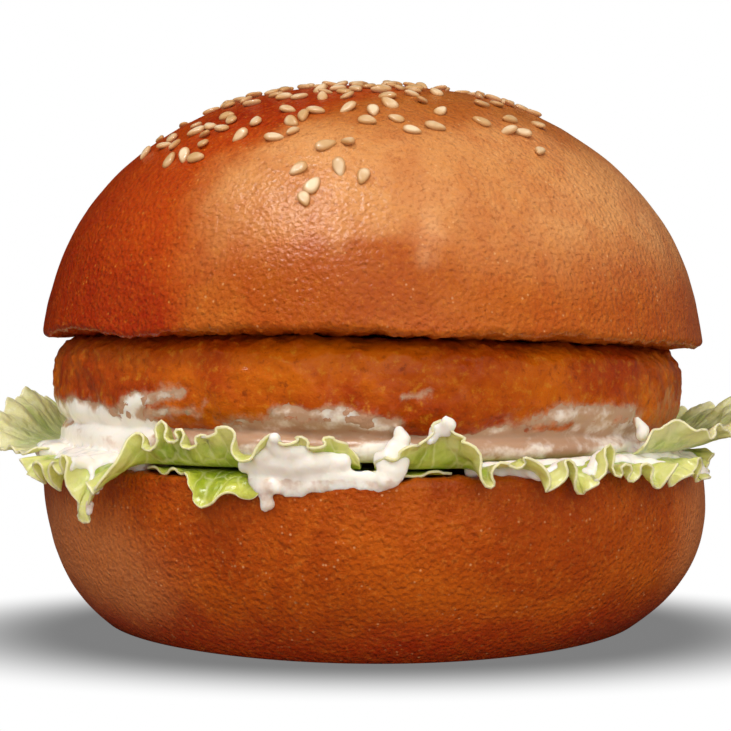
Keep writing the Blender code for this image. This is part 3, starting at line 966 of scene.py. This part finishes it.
# Free folds and drips of sauce: rows of (azimuth, radius, height, size), the last three in mm.
SAUCE_DRIPS = (
    ((-17, 56.2, 26.4, 0.7), (-15.2, 56.3, 25.2, 0.9), (-14.8, 56.0, 23.8, 0.8), (-14.8, 55.9, 22.6, 0.8)),
    ((-15, 55.9, 25.6, 0.8), (-11, 55.7, 25.0, 0.6), (-5, 55.6, 25.6, 0.6), (1.5, 55.6, 25.6, 0.7)),
    ((-12, 55.8, 24.4, 0.5), (-9.5, 55.7, 24.4, 0.45)),
    ((-13, 55.8, 27.0, 0.9), (-9, 55.8, 26.9, 0.9), (-4, 55.6, 26.8, 0.8), (2.5, 55.6, 26.8, 0.8)),
    ((-12, 55.6, 26.0, 0.8), (-8, 55.6, 26.0, 0.8)),
    (
        (3.6, 53.2, 32.6, 0.7),
        (3.6, 54.2, 31.4, 1.1),
        (3.4, 55.6, 29.8, 1.3),
        (3.0, 56.4, 27.8, 1.3),
        (2.2, 56.3, 26.2, 1.0),
    ),
    ((0.6, 55.0, 29.6, 0.8), (1.4, 56.0, 28.0, 1.1), (1.6, 56.2, 26.6, 0.9)),
    ((45.6, 53.3, 33.6, 0.7), (45.9, 53.9, 32.4, 0.9), (46.2, 54.4, 31.2, 1.0)),
)
# What turns the columns of a stroke's and a drip's rows to about a millimetre.
LEAF_STROKE_SCALES = (0.95, 7.0, 0.0)
DRIP_SCALES = (0.95, 1.0, 1.0, 0.0)
STROKE_STEP = 0.16
SAUCE_VOXEL = 0.34 * MM
SAUCE_KEPT_SHARE = 0.26
FILM_DEPTH = 0.55 * MM
MESHED_FROM = 0.16 * MM
ON_HEEL_BELOW = 26.6 * MM
ON_HEEL_DEPTH = 0.72 * FILM_DEPTH
# (azimuth, width) of the stretches where only a film of sauce shows between the patty and the lettuce.
THIN_UNDER_PATTY = ((-28, 13), (-8, 7), (20, 10), (33, 8))
THINNED_SHARE = 0.62
THINNED_BELOW = 33.0 * MM


def on_patty_side(points):
    """(azimuth in radians, height on the unsloped patty) of these points."""
    x = points[:, 0] + PATTY_TO_LEFT
    return np.arctan2(x, -points[:, 1]), points[:, 2] + STACK_SLOPE * points[:, 0]


def sauce_depth(azimuth, height):
    """How deep the sauce on the patty's side is, from its smears and the layer that looks out from below."""
    rim = around(azimuth, PATTY_RADIUS, height)
    moved = height + 0.5 * MM * fractal(rim, 2.6 * MM, 131, 3, 0.6)
    deepest = UNDER_DEPTH * smooth_step(UNDER_PATTY - moved, -0.3 * MM, 1.2 * MM)
    for start, start_height, end, end_height, width, depth in SMEARS:
        middle = math.radians((start + end) / 2)
        x = PATTY_RADIUS * ((azimuth - middle + math.pi) % (2 * math.pi) - math.pi)
        half_length = PATTY_RADIUS * math.radians(end - start) / 2
        rise = (end_height - start_height) / 2 * MM
        z = moved - (start_height + end_height) / 2 * MM
        share = np.clip((x * half_length + z * rise) / (half_length**2 + rise**2), -1, 1)
        away = np.hypot(x - share * half_length, z - share * rise) / (width * MM)
        deepest = np.maximum(deepest, depth * MM * np.exp(-(away**2)))
    return deepest * (1 + 0.35 * noise(rim, 3.0 * MM, 137))


def sauce_band_points(column, row):
    """A closed band: its outer side is the sauce on the patty, and its inner side lies inside the patty."""
    azimuth = (column - 0.5) * 2 * math.pi
    outer = row < 0.5
    along = np.where(outer, 2 * row, 2 - 2 * row)
    angle = math.pi + 0.12 - along * (math.pi * 0.74)
    level = patty_points(azimuth, angle)
    depth = sauce_depth(*on_patty_side(level))
    lift = np.where(outer, depth - MESHED_FROM, -1.3 * MM)
    pinch = np.minimum(1, np.minimum(row, 1 - row) / 0.02)
    roughness = 1 - 0.85 * smooth_step(depth, 0.15 * MM, 0.5 * MM)
    return patty_points(azimuth, angle, lift * pinch - 0.5 * MM * (1 - pinch), roughness)


def sauce_layer_points(azimuth, share):
    """The layer that lies between the lettuce and the patty: a flat disc with a rounded, wavy side."""
    _, middle, half = patty_sizes()
    low, high = SAUCE_LAYER_BOTTOM, middle - half + 0.6 * MM
    angle = np.clip((share - 0.25) / 0.5, 0, 1) * math.pi
    side = (high - low) / 2
    on_face = np.minimum(1, np.minimum(share, 1 - share) / 0.25)
    rim = around(azimuth, SAUCE_LAYER_RADIUS, 0.0)
    reach = SAUCE_LAYER_RADIUS + 0.5 * MM * noise(rim, 5 * MM, 141) + side * np.sin(angle)
    flat = around(azimuth, reach * on_face, (low + high) / 2 + side * np.cos(angle)) - (PATTY_TO_LEFT, 0, 0)
    return sloped(flat, low, high)


def resampled(rows, scales, step):
    """The rows' columns, with more rows in between at about this step. The scales turn them to mm."""
    rows = np.array(rows, float)
    steps = np.linalg.norm(np.diff(rows * scales, axis=0), axis=1)
    lengths = np.concatenate([[0], np.cumsum(steps)])
    at = np.linspace(0, lengths[-1], max(2, int(lengths[-1] / step)))
    return np.stack([np.interp(at, lengths, column) for column in rows.T])


def leaf_stroke(node, rows, random):
    """(centres, sizes) of the balls of a stroke on a leaf, scattered a little to make its outline uneven."""
    leaf = next(leaf for leaf in LEAVES if leaf["node"] == node)
    azimuth, share, size = resampled(rows, LEAF_STROKE_SCALES, STROKE_STEP)
    azimuth = azimuth + random.normal(0, 0.35, len(azimuth)) * size
    share = np.clip(share + random.normal(0, 0.035, len(share)), 0, 1)
    size = size * random.uniform(0.65, 1.1, len(size)) * MM
    here = leaf_points(leaf, azimuth, share)
    onward = leaf_points(leaf, azimuth, share + 0.02) - leaf_points(leaf, azimuth, share - 0.02)
    beside = leaf_points(leaf, azimuth + 0.3, share) - leaf_points(leaf, azimuth - 0.3, share)
    normal = np.cross(beside, onward)
    normal /= np.linalg.norm(normal, axis=1)[:, None]
    return here + normal * 0.35 * size[:, None], size


def drip_stroke(rows, random):
    """(centres, sizes) of the balls of a free fold or drip."""
    azimuth, radius, height, size = resampled(rows, DRIP_SCALES, STROKE_STEP)
    azimuth = azimuth + random.normal(0, 0.35, len(azimuth)) * size
    height = height + random.normal(0, 0.25, len(azimuth)) * size
    size = size * random.uniform(0.65, 1.05, len(size))
    return around(np.radians(azimuth), radius * MM, height * MM), size * MM


def strokes_mesh():
    """The balls that make up the strokes and drips of sauce."""
    random = np.random.default_rng(31)
    ball = ball_mesh(STROKE_BALL_SEGMENTS, STROKE_BALL_RINGS)
    base = get_points(ball)
    strokes = [leaf_stroke(node, rows, random) for node, on_leaf in SAUCE_STROKES.items() for rows in on_leaf]
    strokes += [drip_stroke(rows, random) for rows in SAUCE_DRIPS]
    placed = []
    for centres, sizes in strokes:
        placed += [centre + base * size for centre, size in zip(centres, sizes)]
    return copies_mesh("strokes", ball, placed)


def applied(obj):
    """The object's mesh with its modifiers applied."""
    graph = bpy.context.evaluated_depsgraph_get()
    mesh = bpy.data.meshes.new_from_object(obj.evaluated_get(graph))
    bpy.data.objects.remove(obj)
    return mesh


def united_sauce():
    """One mesh round the band on the patty, the layer under it and the strokes."""
    band = grid_mesh("band", SAUCE_BAND_SEGMENTS, SAUCE_BAND_RINGS, sauce_band_points)
    close_border(band)
    layer = turned_mesh("layer", SAUCE_LAYER_SEGMENTS, SAUCE_LAYER_RINGS, sauce_layer_points)
    builder = bmesh.new()
    for part in (band, layer, strokes_mesh()):
        builder.from_mesh(part)
    mesh = bpy.data.meshes.new("sauce")
    builder.to_mesh(mesh)
    builder.free()
    rough = bpy.data.objects.new("rough_sauce", mesh)
    bpy.context.scene.collection.objects.link(rough)
    remesh = rough.modifiers.new("Union", "REMESH")
    remesh.mode = "VOXEL"
    remesh.voxel_size = SAUCE_VOXEL
    smooth = rough.modifiers.new("Smooth", "SMOOTH")
    smooth.factor = 0.5
    smooth.iterations = 5
    lighter = rough.modifiers.new("Lighter", "DECIMATE")
    lighter.ratio = SAUCE_KEPT_SHARE
    return applied(rough)


def film_depth(points):
    """How deep the sauce looks: a film where it is thin on the patty, under it and on the heel."""
    radius = np.hypot(points[:, 0], points[:, 1])
    azimuth, height = on_patty_side(points)
    depth = np.maximum(sauce_depth(azimuth, height), radius - PATTY_RADIUS - 0.6 * MM)
    thinned = np.zeros(len(points))
    for centre, width in THIN_UNDER_PATTY:
        thinned = np.maximum(thinned, THINNED_SHARE * bump(np.degrees(azimuth), centre, width))
    low = smooth_step(height, THINNED_BELOW, THINNED_BELOW - 1.0 * MM)
    depth *= 1 - thinned * low * (radius < PATTY_RADIUS + 1.0 * MM)
    return np.where(points[:, 2] < ON_HEEL_BELOW, ON_HEEL_DEPTH, depth)


def build_sauce():
    mesh = united_sauce()
    set_film(mesh, film_depth(get_points(mesh)))
    new_piece("sauce", mesh, sauce_material(), "mayonnaise", "mayonnaise")


# ---- Sesame seeds ----

SEED_SIZE = (1.47 * MM, 1.06 * MM, 0.50 * MM)
# (azimuth, angle from the top) of the seeds that lie apart from the others.
STRAY_SEEDS = ((-13, 58), (-10, 62), (-6, 58), (-2, 60), (-11, 65), (-9, 52), (-5, 51), (12, 45), (7, 47))
SEED_GAP = 2.1 * MM
CANDIDATE_SEEDS = 4200
LOWEST_CANDIDATE = math.radians(60)
SEEDED_ANGLE = 33
# Where the front's seeds are: (azimuth, its width, angle from the top, its width, share of candidates kept).
SEED_CLUSTERS = ((-39, 14, 46, 6, 0.42), (-17, 4, 45, 5, 0.40), (2, 14, 38, 4, 0.22), (43, 12, 42, 5, 0.34))


def crown_surface(azimuth, angle):
    """(points, outward directions) on the crown's dome, at azimuths in radians and angles from the top."""
    dome_share = 1 - (1 - angle / (math.pi / 2)) ** (1 / DOME_SPACING)
    step = 0.004
    here = crown_points(azimuth, dome_share / 2)
    further = crown_points(azimuth, dome_share / 2 + step)
    beside = crown_points(azimuth + step, dome_share / 2)
    outward = np.cross(further - here, beside - here)
    return here, outward / np.linalg.norm(outward, axis=1)[:, None]


def seed_places(random):
    """Azimuths in radians and angles from the top: dense on top, thinning out downwards, with strays."""
    azimuth = random.uniform(-math.pi, math.pi, CANDIDATE_SEEDS)
    angle = np.arccos(1 - random.uniform(0, 1, CANDIDATE_SEEDS) * (1 - math.cos(LOWEST_CANDIDATE)))
    degrees, down = np.degrees(azimuth), np.degrees(angle)
    front = np.zeros(CANDIDATE_SEEDS)
    for centre, width, middle, depth, share in SEED_CLUSTERS:
        front = np.maximum(front, share * bump(degrees, centre, width) * bump(down, middle, depth))
    seen_from_above = around(azimuth, 40 * MM * np.sin(angle), 0.0)
    clustered = smooth_step(noise(seen_from_above, 7 * MM, 151), -0.5, 0.3)
    top = smooth_step(SEEDED_ANGLE - down, -2, 5) * (0.08 + 0.5 * clustered)
    behind = smooth_step(np.abs(degrees), 62, 80)
    lower_edge = 45 + 8 * np.sin(3 * azimuth + 1)
    back = behind * smooth_step(lower_edge - down, -3, 8) * (0.1 + 0.6 * clustered)
    likely = np.maximum(np.maximum(front, top), back)
    chosen = random.uniform(0, 1, CANDIDATE_SEEDS) < likely
    strays = np.radians(np.array(STRAY_SEEDS, float))
    return np.concatenate([strays[:, 0], azimuth[chosen]]), np.concatenate([strays[:, 1], angle[chosen]])


def seed_shape(base):
    """The ball's points as a seed with one pointed end and a slightly dished top."""
    from_tip = (base[:, 0] + 1) / 2
    round_part = np.hypot(base[:, 0], base[:, 1])
    shape = base * SEED_SIZE
    shape[:, 1] *= 0.55 + 0.55 * from_tip
    shape[:, 2] *= 1 - 0.30 * np.exp(-((round_part / 0.55) ** 2)) * (base[:, 2] > 0)
    return shape


def seed_axes(outward, random):
    """The seed's length, width and height directions: it lies on the crust, turned at random."""
    tilted = outward + random.normal(0, 0.16, 3)
    tilted /= np.linalg.norm(tilted)
    along = np.cross(tilted, random.normal(0, 1, 3))
    along /= np.linalg.norm(along)
    return along, np.cross(tilted, along), tilted


def build_seeds():
    random = np.random.default_rng(425)
    centres, outwards = crown_surface(*seed_places(random))
    ball = ball_mesh(SEED_SEGMENTS, SEED_RINGS)
    base = get_points(ball)
    shape = seed_shape(base)
    kept, placed = [], []
    for centre, outward in zip(centres, outwards):
        if kept and np.linalg.norm(np.array(kept) - centre, axis=1).min() < SEED_GAP:
            continue
        kept.append(centre)
        along, across, tilted = seed_axes(outward, random)
        size = random.uniform(0.88, 1.12)
        axes = np.stack([along, across * random.uniform(0.9, 1.1), tilted])
        placed.append(centre + outward * SEED_SIZE[2] * 0.55 + (shape * size) @ axes)
    mesh = copies_mesh("seeds", ball, placed)
    rim = smooth_step(np.hypot(base[:, 0], base[:, 1]), 0.55, 0.98)
    set_attribute(mesh, "rim", np.tile(rim, len(placed)))
    new_piece("sesame_seeds", mesh, seed_material(), "crust")


# ---- Stage ----

CAMERA_PLACE = (-1.2 * MM, -230 * MM, 41.5 * MM)
CAMERA_LENS = 65.4
SHADOW_CENTRE = (0.0, -20 * MM, 0.0)
SHADOW_RADII = (66 * MM, 37 * MM, 1.0)
LIGHTS_AIM = Vector((0, 0, 50 * MM))
WHITE = (1, 1, 1, 1)
BLACK = (0, 0, 0, 1)


def area_light(name, place, size, power):
    """A rectangular light that points at the burger."""
    data = bpy.data.lights.new(name, "AREA")
    data.shape = "RECTANGLE"
    data.size, data.size_y = size
    data.energy = power
    light = bpy.data.objects.new(name, data)
    bpy.context.scene.collection.objects.link(light)
    light.location = place
    direction = LIGHTS_AIM - Vector(place)
    light.rotation_euler = direction.to_track_quat("-Z", "Y").to_euler()
    return light


def build_world():
    """White behind the burger, a soft fill, stronger from the right, and a dark room in reflections."""
    world = bpy.data.worlds.new("studio")
    bpy.context.scene.world = world
    world.use_nodes = True
    tree = world.node_tree
    background = tree.nodes["Background"]
    direction = add(tree, "TexCoord").outputs["Generated"]
    fill = ramp(tree, axis_value(tree, direction, "X"), -0.8, 0.5, 0.62, 0.70)
    reflected = ramp(tree, axis_value(tree, direction, "X"), -0.2, 0.9, 0.0, 0.08)
    path = add(tree, "LightPath").outputs
    light = mix_values(tree, path["Is Glossy Ray"], fill, reflected)
    strength = mix_values(tree, path["Is Camera Ray"], light, 1.0)
    tree.links.new(strength, background.inputs["Strength"])
    background.inputs["Color"].default_value = WHITE


def build_floor():
    """White with a painted soft shadow to the camera. To other rays it is dull, and to reflections nearly
    black.
    """
    material, tree, shader = new_material("floor")
    path = add(tree, "LightPath").outputs
    bounce = mix(tree, path["Is Glossy Ray"], (0.42, 0.36, 0.32, 1), (0.03, 0.03, 0.03, 1))
    colour = mix(tree, path["Is Camera Ray"], bounce, BLACK)
    # Painted shadow: the emission the camera sees falls off inside an ellipse round the burger.
    centred = add(tree, "VectorMath", {0: object_coordinates(tree), 1: SHADOW_CENTRE}, operation="SUBTRACT")
    inputs = {0: centred.outputs["Vector"], 1: SHADOW_RADII}
    scaled = add(tree, "VectorMath", inputs, operation="DIVIDE").outputs["Vector"]
    distance = add(tree, "VectorMath", {0: scaled}, operation="LENGTH").outputs["Value"]
    painted_shadow_emission = ramp(tree, distance, 0.72, 1.28, 0.21, 1.0)
    tree.links.new(colour, shader.inputs["Base Color"])
    seen_glow = math_node(tree, "MULTIPLY", painted_shadow_emission, path["Is Camera Ray"])
    tree.links.new(seen_glow, shader.inputs["Emission Strength"])
    shader.inputs["Emission Color"].default_value = WHITE
    shader.inputs["Roughness"].default_value = 1.0
    shader.inputs["Specular IOR Level"].default_value = 0.0
    builder = bmesh.new()
    bmesh.ops.create_grid(builder, x_segments=1, y_segments=1, size=6.0)
    mesh = bpy.data.meshes.new("floor")
    builder.to_mesh(mesh)
    builder.free()
    mesh.materials.append(material)
    floor = bpy.data.objects.new("floor", mesh)
    bpy.context.scene.collection.objects.link(floor)


def build_camera():
    data = bpy.data.cameras.new("camera")
    data.lens = CAMERA_LENS
    data.sensor_width = 36.0
    data.clip_start = 0.01
    camera = bpy.data.objects.new("camera", data)
    camera.location = CAMERA_PLACE
    camera.rotation_euler = (math.pi / 2, 0, 0)
    bpy.context.scene.collection.objects.link(camera)
    bpy.context.scene.camera = camera


def build_stage():
    build_camera()
    build_world()
    build_floor()
    key = area_light("key", (0.16, -0.92, 0.50), (0.9, 0.9), 5.6)
    key.visible_glossy = False
    area_light("window", (-0.30, -0.42, 0.85), (0.22, 0.18), 3.1)
    bpy.context.scene.view_settings.view_transform = "Standard"


def main():
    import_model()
    build_buns()
    build_patty()
    build_lettuce()
    build_sauce()
    build_seeds()
    build_stage()


main()
